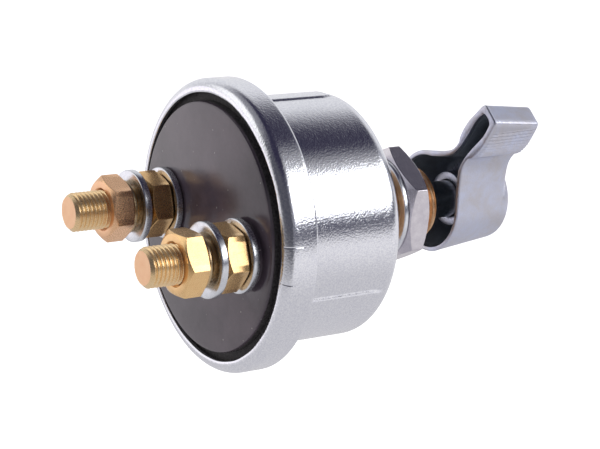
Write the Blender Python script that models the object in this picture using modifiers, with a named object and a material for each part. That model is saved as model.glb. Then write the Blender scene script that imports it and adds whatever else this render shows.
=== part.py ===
"""Battery cut-off switch: a drawn steel cup rolled over a moulded base with two
studs, and a threaded brass stem in front that carries a hollow lever.

Metres, +Z up. The switch's axis is Y: the lever is at -Y and the studs at +Y.
The origin is the centre of the cup's front face, which sits on the panel.
"""

import math

import bmesh
import bpy
from mathutils import Vector

MM = 0.001
GAP = 0.3  # between pieces that touch on the real switch, mm

# Driving sizes, mm
CUP_R = 30.2          # drum outside
CUP_WALL = 1.2
DRUM_LENGTH = 27.8    # front face to the back of the flange
RIM_R = 35.6          # rolled rim outside
RIM_TOP = 36.25       # highest line of the rolled rim
LIP_R = 32.4          # inner edge of the rolled rim
CORNER_R = 4.0        # between the drum and the front face
RIB_ANGLES = (84, 204, 324)   # degrees from +X towards +Z
RIB_HEIGHT = 0.7
RIB_HALF_WIDTH = 3.2

BASE_FACE = 37.25     # raised face of the base
BASE_FACE_R = 30.3
LAND_Y = 24.7         # inner face that the contact bridge turns over

STUD_SPACING = 38.1   # 1.5 in
STUD_R = 4.76         # 3/8 in
STUD_TIP = 64.05
STUD_HEAD_Y = 24.7    # level with the inner face, so the bridge slides on and off
NUT_AF = 14.3         # 9/16 in
NUT_T = 5.4

STEM_R = 9.525        # 3/4 in
STEM_LENGTH = 25.4
STEM_BORE_R = 5.1
SHAFT_R = 4.76
MOUNT_NUT_AF = 27.0
MOUNT_NUT_T = 6.2
MOUNT_NUT_Y = -13.5   # its face towards the cup

LEVER_BACK = -28.5
LEVER_DEPTH = 15.9
LEVER_BASE_R = 13.15    # at the back edge; its front stands LEVER_BOSS further out
LEVER_BOSS = 3.1
LEVER_ANGLE = 125.0   # degrees from +X towards +Z, as the switch stands at rest
LEVER_WALL_FRONT = 2.4
HUB_R = 7.0
HUB_BACK = -35.2
HUB_FLAT = 4.0        # half the distance across the hub's flats

BRIDGE_Y = (22.4, 24.4)
BRIDGE_HALF_LENGTH = 24.5
BRIDGE_HALF_WIDTH = 5.0

for old in list(bpy.data.objects):
    bpy.data.objects.remove(old, do_unlink=True)

PARTS = bpy.data.collections.new("battery_cutoff_switch")
CUTTERS = bpy.data.collections.new("cutters")
for group in (PARTS, CUTTERS):
    bpy.context.scene.collection.children.link(group)


def material(name, colour, metallic, roughness):
    made = bpy.data.materials.new(name)
    made.use_nodes = True
    shader = made.node_tree.nodes["Principled BSDF"]
    shader.inputs["Base Color"].default_value = (*colour, 1)
    shader.inputs["Metallic"].default_value = metallic
    shader.inputs["Roughness"].default_value = roughness
    made.diffuse_color = (*colour, 1)
    return made


ZINC = ("zinc", (0.72, 0.74, 0.80), 1.0, 0.28)
DIE_CAST = ("die_cast_zinc", (0.58, 0.59, 0.66), 1.0, 0.42)
BRASS = ("brass", (0.80, 0.58, 0.25), 1.0, 0.25)
PHENOLIC = ("phenolic", (0.055, 0.050, 0.055), 0.0, 0.45)
STEEL = ("dark_steel", (0.16, 0.16, 0.18), 1.0, 0.4)
COPPER = ("copper", (0.85, 0.45, 0.30), 1.0, 0.3)
FIBRE = ("fibre", (0.45, 0.30, 0.18), 0.0, 0.8)
NYLON = ("nylon", (0.75, 0.73, 0.66), 0.0, 0.5)
RUBBER = ("rubber", (0.03, 0.03, 0.03), 0.0, 0.8)
BRONZE = ("bronze", (0.55, 0.40, 0.20), 1.0, 0.35)


def place(obj, x=0.0, z=0.0, angle=0.0):
    """Stands local +Z along +Y, at (x, z), turned by angle degrees from +X towards +Z."""
    obj.rotation_euler = (-math.pi / 2, -math.radians(angle), 0)
    obj.location = (x * MM, 0, z * MM)
    return obj


def new_object(name, mesh, finish=None):
    obj = bpy.data.objects.new(name, mesh)
    if finish:
        PARTS.objects.link(obj)
        mesh.materials.append(material(f"{name}_{finish[0]}", *finish[1:]))
    else:
        CUTTERS.objects.link(obj)
        obj.hide_render = True
        obj.display_type = "WIRE"
    return obj


def turned(name, profile, finish=None, segments=48, x=0.0, z=0.0, angle=0.0):
    """A turned piece. profile is (radius, y) in mm, top to bottom down its outer side,
    closed unless it starts and ends on the axis."""
    mesh = bpy.data.meshes.new(name)
    points = [(r * MM, 0, y * MM) for r, y in profile]
    edges = [(i, i + 1) for i in range(len(points) - 1)]
    if profile[0][0] > 0:
        edges.append((len(points) - 1, 0))
    mesh.from_pydata(points, edges, [])
    obj = new_object(name, mesh, finish)
    screw = obj.modifiers.new("turn", "SCREW")
    screw.axis = "Z"
    screw.steps = screw.render_steps = segments
    screw.use_smooth_shade = True
    screw.use_merge_vertices = True
    screw.merge_threshold = 0.00001
    return place(obj, x, z, angle)


def ring(name, r_in, r_out, low, high, finish=None, segments=32, chamfer=0.0, **at):
    c = chamfer
    profile = [(r_in, high), (r_out - c, high)]
    if c:
        profile += [(r_out, high - c), (r_out, low + c)]
    else:
        profile += [(r_out, low)]
    if c:
        profile += [(r_out - c, low)]
    profile += [(r_in, low)]
    return turned(name, profile, finish, segments, **at)


def rod(name, r, low, high, finish=None, segments=32, **at):
    return turned(name, [(0, high), (r, high), (r, low), (0, low)], finish, segments, **at)


def box(name, low, high, finish=None, angle=0.0):
    """A box between two corners in mm (x, y, z), turned about Y by angle degrees."""
    mesh = bpy.data.meshes.new(name)
    shape = bmesh.new()
    bmesh.ops.create_cube(shape, size=1)
    size = [h - l for l, h in zip(low, high)]
    middle = Vector([(h + l) / 2 for l, h in zip(low, high)])
    for vertex in shape.verts:
        vertex.co = Vector([c * s for c, s in zip(vertex.co, size)]) + middle
        vertex.co *= MM
    shape.to_mesh(mesh)
    shape.free()
    obj = new_object(name, mesh, finish)
    obj.rotation_euler = (0, -math.radians(angle), 0)
    return obj


def combine(obj, other, operation="DIFFERENCE"):
    boolean = obj.modifiers.new(f"{operation.lower()}_{other.name}", "BOOLEAN")
    boolean.operation = operation
    boolean.object = other
    boolean.solver = "EXACT"
    return obj


def arc(cx, cy, radius, start, end, steps):
    """Points on an arc in a profile, angles in degrees from +r towards +y."""
    return [
        (
            cx + radius * math.cos(math.radians(start + (end - start) * i / steps)),
            cy + radius * math.sin(math.radians(start + (end - start) * i / steps)),
        )
        for i in range(steps + 1)
    ]


# ---------------------------------------------------------------- case cup

def cup_profile():
    inner_r = CUP_R - CUP_WALL
    rim_in = RIM_R - CUP_WALL
    roll = 2.6
    outer = [(LIP_R, RIM_TOP)]
    outer += arc(RIM_R - roll, RIM_TOP - roll, roll, 90, 0, 4)
    outer += arc(RIM_R - 0.9, DRUM_LENGTH + 0.9, 0.9, 0, -90, 2)
    outer += arc(CUP_R + 0.9, DRUM_LENGTH - 0.9, 0.9, 90, 180, 2)
    outer += arc(CUP_R - CORNER_R, CORNER_R, CORNER_R, 0, -90, 4)
    outer += [(STEM_R + 0.325, 0)]
    inner = [(STEM_R + 0.325, CUP_WALL)]
    inner += arc(CUP_R - CORNER_R, CORNER_R, CORNER_R - CUP_WALL, -90, 0, 2)
    inner += arc(CUP_R + 0.9, DRUM_LENGTH - 0.9, 0.9 + CUP_WALL, 180, 90, 2)
    inner += [(rim_in, DRUM_LENGTH + CUP_WALL)]
    inner += arc(RIM_R - roll, RIM_TOP - roll, roll - CUP_WALL, 0, 90, 2)
    inner += [(LIP_R, RIM_TOP - CUP_WALL)]
    return outer + inner


case_cup = turned("case_cup", cup_profile(), ZINC, 48)

# The ribs are pressed outwards from inside, so each has its groove in the cup.
rib_blocks = None
groove_blocks = None
for number, angle in enumerate(RIB_ANGLES):
    rib = box(f"rib_block_{number}", (25, 3.4, -RIB_HALF_WIDTH), (33, DRUM_LENGTH + 0.3, RIB_HALF_WIDTH), angle=angle)
    groove = box(f"groove_block_{number}", (25, 5.0, -2.2), (33, 30.5, 2.2), angle=angle)
    if number == 0:
        rib_blocks, groove_blocks = rib, groove
    else:
        combine(rib_blocks, rib, "UNION")
        combine(groove_blocks, groove, "UNION")
rib_r = CUP_R + RIB_HEIGHT
rib_ring = turned(
    "rib_ring",
    [(29.6, DRUM_LENGTH + 0.2), (rib_r, DRUM_LENGTH + 0.2), (rib_r, 4.8), (rib_r - 1.0, 3.6), (29.6, 3.6)],
    segments=48,
)
combine(rib_ring, rib_blocks, "INTERSECT")
combine(case_cup, rib_ring, "UNION")
groove_ring = ring("groove_ring", 28.3, rib_r - CUP_WALL, 5.4, 29.6, segments=48)
combine(groove_ring, groove_blocks, "INTERSECT")
combine(case_cup, groove_ring)

# ------------------------------------------------------------ terminal base

terminal_base = turned(
    "terminal_base",
    [
        (0, BASE_FACE),
        (BASE_FACE_R - 0.7, BASE_FACE),
        (BASE_FACE_R, BASE_FACE - 0.7),
        (BASE_FACE_R, 34.7),
        (33.2, 34.7),
        (34.0, 33.6),
        (34.0, 30.6),
        (28.6, 30.6),
        (28.6, LAND_Y),
        (13.4, LAND_Y),
        (13.4, 27.5),
        (3.9, 27.5),
        (3.9, 31.0),
        (0, 31.0),
    ],
    PHENOLIC,
    48,
)
for number, angle in enumerate(RIB_ANGLES):
    key = box(f"base_key_{number}", (27.6, LAND_Y + 0.4, -1.7), (29.35, 31.2, 1.7), angle=angle)
    combine(terminal_base, key, "UNION")
for number, (sx, sz) in enumerate(((-1, 1), (1, -1))):
    xs = sorted((sx * 5.4, sx * 14.5))
    zs = sorted((sz * 5.4, sz * 14.5))
    stop = box(f"stop_{number}", (xs[0], 21.0, zs[0]), (xs[1], LAND_Y + 1, zs[1]))
    clear = rod(f"stop_clear_{number}", 13.3, 19, 26.8, segments=48)
    combine(stop, clear)
    combine(terminal_base, stop, "UNION")

# ----------------------------------------------------------------- terminals


def hex_nut(name, across, low, high, bore, finish, corner_angle, x=0.0, z=0.0, low_face=0.47, low_slope=30):
    """A hex nut with both ends chamfered, one corner at corner_angle. The low end has
    its own face radius, as a share of the width across flats, and chamfer angle."""
    mesh = bpy.data.meshes.new(name)
    shape = bmesh.new()
    corner = across / math.sqrt(3)
    bmesh.ops.create_cone(
        shape,
        cap_ends=True,
        segments=6,
        radius1=corner * MM,
        radius2=corner * MM,
        depth=(high - low) * MM,
    )
    for vertex in shape.verts:
        vertex.co.z += (high + low) / 2 * MM
    shape.to_mesh(mesh)
    shape.free()
    nut = new_object(name, mesh, finish)
    place(nut, x, z, corner_angle - 30)
    face_r = 0.47 * across
    reach = corner + 0.4
    drop = (reach - face_r) * math.tan(math.radians(30))
    low_r = low_face * across
    low_drop = (reach - low_r) * math.tan(math.radians(low_slope))
    blank = turned(
        f"{name}_blank",
        [
            (bore, high - 0.5),
            (bore + 0.5, high + 0.0),
            (face_r, high),
            (reach, high - drop),
            (reach, low + low_drop),
            (low_r, low),
            (bore + 0.5, low),
            (bore, low + 0.5),
        ],
        segments=24,
        x=x,
        z=z,
    )
    combine(nut, blank, "INTERSECT")
    return nut


def terminal(letter, x, inner_y, outer_y, inner_corner, outer_corner, slit):
    """A stud with its washers and nuts. inner_y and outer_y are the base-side faces of
    its two flat washers."""
    outward = 1 if x > 0 else -1
    at = {"x": x}
    if inner_y - GAP > BASE_FACE + 0.3:
        boss = rod(f"boss_{letter}", 7.6, 36.9, inner_y - GAP, segments=28, **at)
        combine(terminal_base, boss, "UNION")
    pocket = rod(f"pocket_{letter}", 6.4, 24.0, 28.3, segments=24, **at)
    far = sorted((x - outward * 8, x + outward * 5.5))
    half = box(f"pocket_half_{letter}", (far[0], 23, -8), (far[1], 29, 8))
    combine(pocket, half, "INTERSECT")
    combine(terminal_base, pocket)
    hole = rod(f"hole_{letter}", 5.1, 27, 40, segments=24, **at)
    combine(terminal_base, hole)

    stud = turned(
        f"stud_{letter}",
        [
            (0, STUD_TIP),
            (3.95, STUD_TIP),
            (STUD_R, STUD_TIP - 0.9),
            (STUD_R, 28.0),
            (6.1, 28.0),
            (6.1, STUD_HEAD_Y + 0.4),
            (5.7, STUD_HEAD_Y),
            (0, STUD_HEAD_Y),
        ],
        BRASS,
        24,
        **at,
    )
    edge = sorted((x + outward * 5.2, x + outward * 9))
    flat = box(f"head_flat_{letter}", (edge[0], 24, -8), (edge[1], 28.2, 8))
    combine(stud, flat)

    ring(f"inner_washer_{letter}", 5.1, 8.8, inner_y, inner_y + 1.6, ZINC, 28, 0.25, **at)
    y = inner_y + 1.6 + GAP
    hex_nut(f"inner_nut_{letter}", NUT_AF, y, y + NUT_T, 5.1, BRASS, inner_corner, x, 0, 0.495, 20)
    ring(f"outer_washer_{letter}", 5.1, 8.9, outer_y, outer_y + 1.7, ZINC, 28, 0.3, **at)
    y = outer_y + 1.7 + GAP
    lock = ring(f"lock_washer_{letter}", 5.1, 6.6, y + 0.6, y + 1.6, BRONZE, 24, 0.15, **at)
    cut = box(f"lock_slit_{letter}", (4.4, y - 1, -0.5), (8.4, y + 3, 0.5), angle=slit)
    cut.location = (x * MM, 0, 0)
    combine(lock, cut)
    y += 1.6 + GAP
    hex_nut(f"outer_nut_{letter}", NUT_AF, y, y + NUT_T, 5.1, BRASS, outer_corner, x, 0, 0.495, 20)


terminal("a", STUD_SPACING / 2, 37.6, 46.1, 128, 132, 260)
terminal("b", -STUD_SPACING / 2, 38.7, 46.9, 124, 114, 300)

ring("base_gasket", 29.9, 33.9, 29.3, 30.3, RUBBER, 36)

# ------------------------------------------------------- stem, washer and nut

mounting_stem = turned(
    "mounting_stem",
    [
        (STEM_BORE_R, 3.2),
        (13.0, 3.2),
        (13.0, 1.5),
        (STEM_R, 1.5),
        (STEM_R, -STEM_LENGTH + 0.9),
        (STEM_R - 0.9, -STEM_LENGTH),
        (STEM_BORE_R + 0.5, -STEM_LENGTH),
        (STEM_BORE_R, -STEM_LENGTH + 0.5),
    ],
    BRASS,
    32,
)
ring("mounting_washer", 9.9, 13.3, MOUNT_NUT_Y + GAP, MOUNT_NUT_Y + GAP + 1.1, ZINC, 36, 0.2)
hex_nut("mounting_nut", MOUNT_NUT_AF, MOUNT_NUT_Y - MOUNT_NUT_T, MOUNT_NUT_Y, 9.9, ZINC, 147.6)

# -------------------------------------------------------------------- lever


def smooth(points, steps=4):
    """Catmull-Rom points through the given ones."""
    out = []
    for i in range(len(points) - 1):
        p0 = points[max(i - 1, 0)]
        p1, p2 = points[i], points[i + 1]
        p3 = points[min(i + 2, len(points) - 1)]
        for s in range(steps):
            t = s / steps
            out.append(
                tuple(
                    0.5
                    * (
                        2 * b
                        + (c - a) * t
                        + (2 * a - 5 * b + 4 * c - d) * t * t
                        + (3 * b - a - 3 * c + d) * t**3
                    )
                    for a, b, c, d in zip(p0, p1, p2, p3)
                )
            )
    out.append(points[-1])
    return out


def lever_half(base_r, tip, inset, inner):
    """Half of the lever's outline, from the tip's middle round to the back of the base
    circle: (distance along the lever, half width) in mm. inset draws it in all round."""
    i = inset
    if inner:
        arm = [(tip - 0.6, 1.9), (30.0, 2.3), (24.0, 1.75), (20.2, 1.65), (17.0, 2.15), (15.2, 3.0),
               (13.2, 4.35), (11.1, 6.0)]
        start, full_r = 37.0, 12.0
    else:
        arm = [(31.0, 3.85), (28.0, 4.15), (25.0, 4.0), (23.2, 3.65), (22.3, 3.4), (21.4, 2.85),
               (20.0, 2.75), (18.4, 2.95), (16.8, 3.6), (15.2, 4.65), (12.4, 6.75), (10.5, 8.4)]
        start, full_r = 50.0, LEVER_BASE_R
    drawn = []
    for a, b in arm:
        # where the arm runs into the base circle it follows that circle's taper
        share = min(1.0, max(0.0, (a - 9.0) / 13.0))
        share = 1 - share * share * (3 - 2 * share)
        in_by = (full_r - base_r) * share
        drawn.append((a - 0.643 * in_by, b - 0.766 * in_by - i * (1 - share)))
    arm = drawn
    circle = [
        (base_r * math.cos(math.radians(t)), base_r * math.sin(math.radians(t)))
        for t in (start + 6 * k for k in range(60))
        if t < 179
    ]
    if inner:
        head = [(tip - i, 0), (tip - i, 1.3 - i * 0.5)]
    else:
        head = [(tip - i, 0), (tip - i, 2.2 - i * 0.5), (tip - 0.5 - i, 3.0 - i * 0.7), (tip - 1.4 - i, 3.4 - i)]
    joined = smooth(arm + circle[:1], 2)
    return head + joined + circle[1:] + [(-base_r, 0)]


def lever_outline(y, base_r, tip, inset=0.0, inner=False):
    half = lever_half(base_r, tip, inset, inner)
    loop = half + [(a, -b) for a, b in reversed(half[1:-1])]
    turn = math.radians(LEVER_ANGLE)
    ux, uz = math.cos(turn), math.sin(turn)
    # b runs to the lever's right as seen from the front: (sin, -cos)
    return [Vector(((a * ux + b * uz) * MM, y * MM, (a * uz - b * ux) * MM)) for a, b in loop]


def loft(name, sections, finish=None):
    """A closed solid through outlines that all have the same number of points."""
    mesh = bpy.data.meshes.new(name)
    shape = bmesh.new()
    rows = [[shape.verts.new(point) for point in section] for section in sections]
    count = len(rows[0])
    for lower, upper in zip(rows, rows[1:]):
        for i in range(count):
            j = (i + 1) % count
            shape.faces.new((lower[i], lower[j], upper[j], upper[i]))
    shape.faces.new(list(reversed(rows[0])))
    shape.faces.new(rows[-1])
    bmesh.ops.recalc_face_normals(shape, faces=shape.faces)
    shape.to_mesh(mesh)
    shape.free()
    return new_object(name, mesh, finish)


LEVER_FRONT = LEVER_BACK - LEVER_DEPTH
lever = loft(
    "lever",
    [
        lever_outline(LEVER_BACK, LEVER_BASE_R, 36.0),
        lever_outline(LEVER_FRONT + 1.4, 11.55, 33.9, 0.1),
        lever_outline(LEVER_FRONT + 0.4, 11.44, 33.6, 0.55),
        lever_outline(LEVER_FRONT, 11.4, 33.4, 1.3),
    ],
    DIE_CAST,
)
hollow = loft(
    "lever_hollow",
    [
        lever_outline(LEVER_BACK + 1.0, 12.0, 34.4, 0.0, inner=True),
        lever_outline(LEVER_FRONT + LEVER_WALL_FRONT, 10.4, 31.9, 0.3, inner=True),
    ],
)
combine(lever, hollow)
boss_front = LEVER_FRONT - LEVER_BOSS
boss = turned(
    "lever_boss",
    [
        (0, LEVER_FRONT + 1.2),
        (11.3, LEVER_FRONT + 1.2),
        (11.3, LEVER_FRONT - 0.1),
        (11.15, boss_front + 1.9),
        (10.9, boss_front + 1.1),
        (10.3, boss_front + 0.4),
        (9.5, boss_front + 0.05),
        (8.8, boss_front),
        (0, boss_front),
    ],
    segments=72,
)
combine(lever, boss, "UNION")
hub = rod("lever_hub", HUB_R, LEVER_FRONT + 1.2, HUB_BACK, segments=36)
combine(lever, hub, "UNION")
hub_bore = rod("hub_bore", STEM_BORE_R, -39.6, HUB_BACK + 1, segments=32)
hub_flats = box("hub_flats", (-8, -45, -HUB_FLAT), (8, -25, HUB_FLAT), angle=LEVER_ANGLE)
combine(hub_bore, hub_flats, "INTERSECT")
combine(lever, hub_bore)
screw_way = turned(
    "screw_way",
    [(0, -38), (2.8, -38), (2.8, -42.0), (5.2, -42.0), (5.2, -49), (0, -49)],
    segments=32,
)
combine(lever, screw_way)

lever_screw = turned(
    "lever_screw",
    [
        (0, -31.5),
        (2.0, -31.5),
        (2.4, -31.9),
        (2.4, -42.3),
        (4.75, -42.3),
        (4.75, -43.4),
        (4.1, -44.4),
        (2.6, -44.9),
        (0, -45.0),
    ],
    ZINC,
    24,
)
screw_slot = box("screw_slot", (-6, -46, -0.6), (6, -43.7, 0.6), angle=20)
combine(lever_screw, screw_slot)

# -------------------------------------------------------------------- shaft

shaft = turned(
    "shaft",
    [
        (0, 30.4),
        (3.1, 30.4),
        (3.55, 29.9),
        (3.55, 12.9),
        (4.95, 12.9),
        (4.95, 6.1),
        (8.5, 6.1),
        (8.5, 4.5),
        (SHAFT_R, 4.5),
        (SHAFT_R, -20.6),
        (3.5, -20.6),
        (3.5, -22.4),
        (SHAFT_R, -22.4),
        (SHAFT_R, -38.9),
        (4.4, -39.3),
        (2.75, -39.3),
        (2.75, -31.1),
        (0, -31.1),
    ],
    STEEL,
    24,
)
for number, side in enumerate((-1, 1)):
    lows = sorted((side * 3.65, side * 8))
    flat = box(f"shaft_flat_{number}", (-9, -42, lows[0]), (9, HUB_BACK + 0.3, lows[1]), angle=LEVER_ANGLE)
    combine(shaft, flat)
for number, turn in enumerate((0, 90, 180, 270)):
    side = box(f"shaft_square_{number}", (3.6, 6.1, -9), (9, 12.9, 9), angle=turn)
    combine(shaft, side)

ring("thrust_washer", 5.1, 9.5, 3.5, 4.2, ZINC, 32)
turned(
    "shaft_seal",
    list(reversed(arc(4.4, -21.5, 0.58, 0, 315, 7))),
    RUBBER,
    20,
)

# -------------------------------------------------------- inside the housing

rotor_carrier = turned(
    "rotor_carrier",
    [(8.1, 23.0), (12.4, 23.0), (12.4, 6.4), (4.0, 6.4), (4.0, 12.6), (8.1, 12.6)],
    NYLON,
    28,
)
combine(rotor_carrier, box("drive_hole", (-3.95, 5, -3.95), (3.95, 14, 3.95)))
combine(
    rotor_carrier,
    box("bridge_slot", (-BRIDGE_HALF_WIDTH - 0.35, 19.3, -16), (BRIDGE_HALF_WIDTH + 0.35, 24, 16)),
)

contact_bridge = box(
    "contact_bridge",
    (-BRIDGE_HALF_WIDTH, BRIDGE_Y[0], -BRIDGE_HALF_LENGTH),
    (BRIDGE_HALF_WIDTH, BRIDGE_Y[1], BRIDGE_HALF_LENGTH),
    COPPER,
)
ends = contact_bridge.modifiers.new("round_ends", "BEVEL")
ends.width = 0.0006
ends.segments = 2
ends.limit_method = "ANGLE"
combine(contact_bridge, rod("bridge_hole", 4.2, 21, 26, segments=28))


def coil(name, radius, wire, low, high, turns, per_turn, finish):
    """A compression spring along Y."""
    curve = bpy.data.curves.new(name, "CURVE")
    curve.dimensions = "3D"
    curve.bevel_depth = wire * MM
    curve.bevel_resolution = 2
    curve.use_fill_caps = True
    spline = curve.splines.new("POLY")
    count = int(turns * per_turn) + 1
    spline.points.add(count - 1)
    dead = 0.9  # closed turn at each end
    for i, point in enumerate(spline.points):
        t = turns * i / (count - 1)
        rise = min(max(t - dead, 0), turns - 2 * dead) / (turns - 2 * dead)
        pitch_end = 2 * wire * 1.08
        lift = low + wire + pitch_end * min(t, dead)
        top = high - wire - pitch_end * max(0, min(turns - t, dead))
        y = lift + (top - lift) * rise if t > dead else lift
        if t > turns - dead:
            y = top
        a = 2 * math.pi * t
        point.co = (radius * math.cos(a) * MM, y * MM, radius * math.sin(a) * MM, 1)
    guide = bpy.data.objects.new(name + "_guide", curve)
    CUTTERS.objects.link(guide)
    bpy.context.view_layer.update()
    graph = bpy.context.evaluated_depsgraph_get()
    mesh = bpy.data.meshes.new_from_object(guide.evaluated_get(graph))
    bpy.data.objects.remove(guide, do_unlink=True)
    shape = bmesh.new()
    shape.from_mesh(mesh)
    bmesh.ops.remove_doubles(shape, verts=shape.verts, dist=0.00001)
    bmesh.ops.recalc_face_normals(shape, faces=shape.faces)
    shape.to_mesh(mesh)
    shape.free()
    mesh.name = name
    return new_object(name, mesh, finish)


coil("contact_spring", 6.4, 0.7, 12.9, 22.1, 5.0, 11, STEEL)

turned(
    "insulating_liner",
    [
        (27.7, 24.6),
        (28.5, 24.6),
        (28.5, 3.8),
        (26.4, 1.6),
        (14.0, 1.6),
        (14.0, 2.4),
        (26.0, 2.4),
        (27.7, 4.1),
    ],
    FIBRE,
    36,
)

# ------------------------------------------------------------ moving groups

lever_turn = bpy.data.objects.new("lever_turn", None)
bridge_float = bpy.data.objects.new("bridge_float", None)
for empty in (lever_turn, bridge_float):
    PARTS.objects.link(empty)
    empty.empty_display_size = 0.02
bridge_float.parent = lever_turn
for moving in ("lever", "lever_screw", "shaft", "shaft_seal", "rotor_carrier", "contact_spring"):
    bpy.data.objects[moving].parent = lever_turn
contact_bridge.parent = bridge_float

# ------------------------------------------------------------------ shading

# Each part keeps its shape as a plain mesh, smooth where it is round.
bpy.context.view_layer.update()
graph = bpy.context.evaluated_depsgraph_get()
finished = [
    (obj, bpy.data.meshes.new_from_object(obj.evaluated_get(graph)))
    for obj in PARTS.objects
    if obj.type == "MESH"
]
for obj, mesh in finished:
    obj.modifiers.clear()
    mesh.name = obj.name
    obj.data = mesh
    mesh.shade_smooth()
    mesh.set_sharp_from_angle(angle=math.radians(32))
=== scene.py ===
"""The looks of a battery cut-off switch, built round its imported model.

Lengths in the helpers are in mm; meshes are made in metres. The switch's axis is Y:
the lever is at -Y, the studs at +Y. Angles run from +X towards +Z.
"""

import math

import bmesh
import bpy
import numpy as np
from mathutils import Matrix, Vector


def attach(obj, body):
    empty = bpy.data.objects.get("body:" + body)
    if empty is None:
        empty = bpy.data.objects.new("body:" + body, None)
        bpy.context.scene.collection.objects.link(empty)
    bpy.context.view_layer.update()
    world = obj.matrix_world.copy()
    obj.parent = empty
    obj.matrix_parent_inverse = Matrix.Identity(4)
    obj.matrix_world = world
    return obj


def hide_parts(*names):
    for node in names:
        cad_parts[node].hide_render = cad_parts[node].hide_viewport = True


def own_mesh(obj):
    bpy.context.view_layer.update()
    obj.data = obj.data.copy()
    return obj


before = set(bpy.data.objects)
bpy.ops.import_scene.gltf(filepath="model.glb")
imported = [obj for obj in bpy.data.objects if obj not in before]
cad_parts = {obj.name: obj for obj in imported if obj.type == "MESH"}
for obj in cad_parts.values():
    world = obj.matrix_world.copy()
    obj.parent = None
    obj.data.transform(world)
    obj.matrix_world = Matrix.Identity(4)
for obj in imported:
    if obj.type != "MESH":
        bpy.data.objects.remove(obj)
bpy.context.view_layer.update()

MM = 0.001
TAU = 2 * math.pi

# ------------------------------------------------------------------ sizes, mm

CUP_R = 30.2
CUP_WALL = 1.2
DRUM_LENGTH = 27.8
RIM_R = 35.6
RIM_TOP = 36.25
LIP_R = 32.4
CORNER_R = 4.0
RIB_ANGLES = (84, 204, 324)
RIB_HEIGHT = 0.7

BASE_FACE = 37.25
BASE_FACE_R = 30.3
LAND_Y = 24.7

STUD_X = 19.05
STUD_R = 4.76
STUD_TIP = 64.05
STUD_HEAD_Y = 24.7
STUD_PITCH = 25.4 / 24
INNER_Y_A, INNER_Y_B = 37.6, 38.7
OUTER_Y_A, OUTER_Y_B = 46.1, 46.9
NUT_AF = 14.3
NUT_T = 5.4

STEM_R = 9.525
STEM_LENGTH = 25.4
STEM_PITCH = 25.4 / 16
STEM_BORE_R = 5.1
MOUNT_NUT_AF = 27.0
MOUNT_NUT_T = 6.2
MOUNT_NUT_Y = -13.5

LEVER_BACK = -28.5
LEVER_DEPTH = 15.9
LEVER_BASE_R = 13.15
LEVER_BOSS = 3.1
LEVER_ANGLE = 125.0
HUB_BACK = -35.2

GAP = 0.3
LEVER_FRONT = LEVER_BACK - LEVER_DEPTH


# --------------------------------------------------------------- mesh helpers


def smoothstep(low, high, value):
    t = np.clip((value - low) / (high - low), 0, 1)
    return t * t * (3 - 2 * t)


def rounded(points, radius=0.2, steps=3, closed=True, radii=None):
    """The outline (points in mm) with its corners rounded. radii gives a corner its own."""
    out = []
    count = len(points)
    for i, p in enumerate(points):
        r = (radii or {}).get(i, radius)
        if r <= 0 or (not closed and i in (0, count - 1)):
            out.append(tuple(p))
            continue
        p = np.array(p, float)
        before = np.array(points[i - 1], float) - p
        after = np.array(points[(i + 1) % count], float) - p
        la, lb = np.linalg.norm(before), np.linalg.norm(after)
        cut_a, cut_b = min(r, 0.45 * la), min(r, 0.45 * lb)
        a, b = p + before / la * cut_a, p + after / lb * cut_b
        for s in range(steps + 1):
            t = s / steps
            out.append(tuple((1 - t) ** 2 * a + 2 * t * (1 - t) * p + t * t * b))
    return out


def arc(cx, cy, radius, start, end, steps):
    return [
        (
            cx + radius * math.cos(math.radians(start + (end - start) * i / steps)),
            cy + radius * math.sin(math.radians(start + (end - start) * i / steps)),
        )
        for i in range(steps + 1)
    ]


def spaced(points, step):
    """More points on a line of points, none further apart than step mm."""
    out = [points[0]]
    for a, b in zip(points, points[1:]):
        a, b = np.array(a, float), np.array(b, float)
        count = max(1, int(math.ceil(np.linalg.norm(b - a) / step)))
        out += [tuple(a + (b - a) * k / count) for k in range(1, count + 1)]
    return out


def mesh_piece(name, vertices, faces, materials, indices=None, sharp=35, merge=0.002):
    """A mesh object from points in mm."""
    mesh = bpy.data.meshes.new(name)
    mesh.from_pydata((np.asarray(vertices, float) * MM).tolist(), [], faces)
    for made in materials:
        mesh.materials.append(made)
    if indices is not None:
        mesh.polygons.foreach_set("material_index", indices)
    shape = bmesh.new()
    shape.from_mesh(mesh)
    bmesh.ops.remove_doubles(shape, verts=shape.verts, dist=merge * MM)
    bmesh.ops.dissolve_degenerate(shape, edges=shape.edges, dist=merge * MM)
    bmesh.ops.recalc_face_normals(shape, faces=shape.faces)
    shape.to_mesh(mesh)
    shape.free()
    mesh.shade_smooth()
    mesh.set_sharp_from_angle(angle=math.radians(sharp))
    obj = bpy.data.objects.new(name, mesh)
    bpy.context.scene.collection.objects.link(obj)
    return obj


def grid_faces(rows, columns, wrap_rows=False, wrap_columns=True):
    faces = []
    for j in range(rows if wrap_rows else rows - 1):
        k = (j + 1) % rows
        for i in range(columns if wrap_columns else columns - 1):
            n = (i + 1) % columns
            faces.append((j * columns + i, j * columns + n, k * columns + n, k * columns + i))
    return faces


def turned(profile, angles, cx=0.0, cz=0.0, shape=None):
    """Points and faces of a turned surface. profile is (radius, y), closed unless it
    starts and ends on the axis. shape(r, y, theta) returns the changed (r, y)."""
    on_axis = profile[0][0] < 1e-6 and profile[-1][0] < 1e-6
    r = np.array([p[0] for p in profile])[:, None] + np.zeros(len(angles))
    y = np.array([p[1] for p in profile])[:, None] + np.zeros(len(angles))
    theta = np.array(angles)[None, :] + np.zeros((len(profile), 1))
    if shape:
        r, y = shape(r, y, theta)
    points = np.stack([cx + r * np.cos(theta), y, cz + r * np.sin(theta)], axis=-1)
    return points.reshape(-1, 3), grid_faces(len(profile), len(angles), wrap_rows=not on_axis)


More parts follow.
